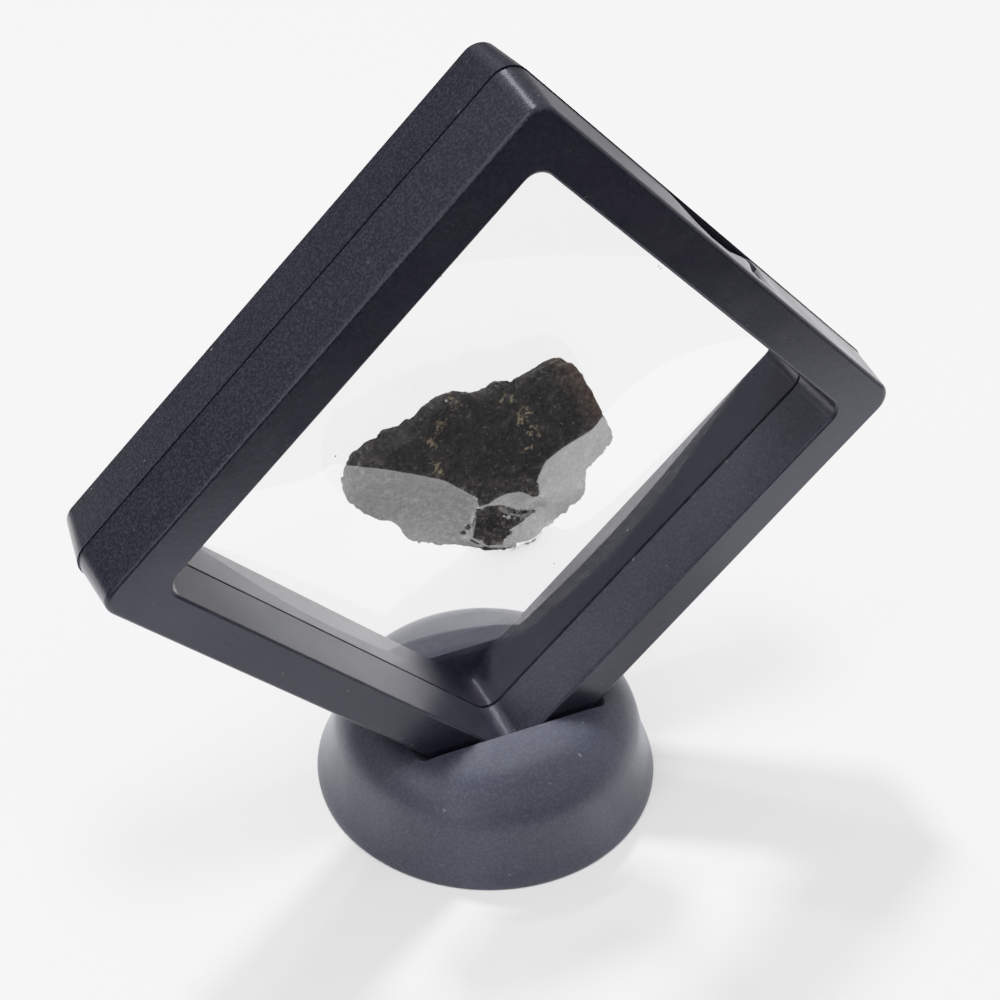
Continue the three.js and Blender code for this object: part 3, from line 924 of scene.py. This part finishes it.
def paper():
    """The pale floor. Where gloss and films mirror it, it shows a painted reflection: a little paler,
    with its front part dark and its back dim.
    """
    half = PAPER_HALF
    corners = [(-half, -half, 0), (half, -half, 0), (half, half, 0), (-half, half, 0)]
    piece = mesh_object("paper", corners, [(0, 1, 2, 3)])
    piece.location.z = -PAPER_DROP * MM
    n = Nodes(bpy.data.materials.new("paper"))
    _, y, _ = n.axes()
    path = n.add("ShaderNodeLightPath")
    mirrored = n.math("GREATER_THAN", path.outputs["Glossy Depth"], 0.5)
    front = n.math("LESS_THAN", y, PAPER_FRONT * MM)
    back = n.times(n.math("GREATER_THAN", y, PAPER_BACK * MM), 0.75)
    tone = n.ramp(n.noise(3, detail=2), (0.3, (0.845, 0.85, 0.85)), (0.7, (0.86, 0.86, 0.855)))
    tone = n.mix(mirrored, tone, (0.94, 0.94, 0.95))
    painted_dark_reflection = n.times(mirrored, n.math("MAXIMUM", front, back))
    colour = n.mix(painted_dark_reflection, tone, (0.03, 0.03, 0.032))
    piece.data.materials.append(n.finish(Base_Color=colour, Roughness=0.75))


def lamp(name, towards, power, angle=None, size=None, mirrored=False):
    """A sun with an angle, or a disk with a size, that shines on the object from a direction."""
    light = bpy.data.lights.new(name, "AREA" if angle is None else "SUN")
    light.energy = power
    if angle is None:
        light.shape = "DISK"
        light.size = size * MM
    else:
        light.angle = math.radians(angle)
    piece = bpy.data.objects.new(name, light)
    bpy.context.scene.collection.objects.link(piece)
    piece.location = LAMP_AWAY * MM * Vector(towards).normalized()
    piece.rotation_euler = Vector(towards).to_track_quat("Z", "Y").to_euler()
    piece.visible_glossy = mirrored


def walls():
    """A bright ceiling over dim walls, with a dim part behind and a pale wall on the right.

    Looked at straight, or through the films, the room is pale all over.
    """
    n = Nodes(bpy.data.worlds.new("room"))
    bpy.context.scene.world = n.holder
    direction = n.add("ShaderNodeTexCoord").outputs["Generated"]
    right, _, up = n.axes(direction)
    path = n.add("ShaderNodeLightPath")
    seen = n.math("MAXIMUM", path.outputs["Is Camera Ray"], path.outputs["Is Transmission Ray"])
    light = n.ramp(up, (0.28, WALL), (0.66, CEILING))
    towards = n.add("ShaderNodeVectorMath", operation="DOT_PRODUCT")
    n.put(towards.inputs[0], direction)
    towards.inputs[1].default_value = DIM_CORNER
    light = n.mix(n.ramp(towards.outputs["Value"], (0.80, 0.0), (0.96, 0.45)), light, WALL)
    light = n.mix(n.ramp(right, (0.5, 0.0), (0.85, 0.8)), light, PALE_WALL)
    background = n.tree.nodes["Background"]
    n.put(background.inputs["Color"], n.mix(seen, light, STRAIGHT))
    background.inputs["Strength"].default_value = 1.03


def room():
    """Main lamps behind and above the object; three small ones, mirrored in the gloss; the room."""
    walls()
    lamp("key", (0.01, 0.60, 1.0), 3.1, angle=6.5)
    lamp("above", (0.0, -0.06, 1.0), 9.0, size=360)
    lamp("left", (-0.64, -0.69, 0.35), 2.4, size=300, mirrored=True)
    lamp("high_left", (-0.60, -0.10, 0.79), 2.5, size=420, mirrored=True)
    lamp("glint", (0.02, 0.64, 0.76), 3.0, size=90, mirrored=True)
    paper()


def tone_curve(view):
    """Bright tones roll off towards white, as they do in a camera."""
    white = 4.0
    view.view_transform = "Standard"
    view.use_curve_mapping = True
    mapping = view.curve_mapping
    mapping.white_level = (white, white, white)
    curve = mapping.curves[3]
    curve.points[1].location = (1.0, 1 - math.exp(-RESPONSE * white))
    for light in (0.02, 0.06, 0.12, 0.2, 0.3, 0.45, 0.65, 0.9, 1.3, 1.8, 2.6):
        curve.points.new(light / white, 1 - math.exp(-RESPONSE * light))
    mapping.update()


def camera():
    """The lens, and where it stands and looks, with its small roll."""
    data = bpy.data.cameras.new("camera")
    data.sensor_width = 36.0
    data.lens = 73.55
    data.clip_start = 10 * MM
    view = bpy.data.objects.new("camera", data)
    bpy.context.scene.collection.objects.link(view)
    place = (-102.125, -210.958, 245.786)
    right = Vector((0.90812, -0.41774, 0.02842))
    forward = Vector((0.34051, 0.69732, -0.63071))
    up = right.cross(forward)
    turn = Matrix((right, up, -forward)).transposed()
    view.matrix_world = Matrix.Translation([c * MM for c in place]) @ turn.to_4x4()
    bpy.context.scene.camera = view


# ---- assembly -----------------------------------------------------------------------------
def dress(piece, material, node):
    """Finish a piece, and hide the node that it stands for."""
    piece.data.materials.clear()
    piece.data.materials.append(material)
    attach(piece, "root")
    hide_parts(node)


camera()
room()
black = frame_plastic()
dress(foot(), foot_plastic(), "stand")
front = frame_half("front_half", -1, half_section(FRONT_SEAM_HALF), True)
boolean(front, crack(), "DIFFERENCE")
back = frame_half("back_half", 1, half_section(SIDE / 2), False)
dress(front, black, "frame_front")
dress(back, black, "frame_back")
stone, front_film, back_film = stone_and_films()
clear = clear_film()
dress(stone, meteorite_stone(), "meteorite")
dress(front_film, clear, "membrane_front")
dress(back_film, clear, "membrane_back")

tone_curve(bpy.context.scene.view_settings)
bpy.context.scene.cycles.use_denoising = True
bpy.context.scene.cycles.caustics_reflective = False
bpy.context.scene.cycles.caustics_refractive = False
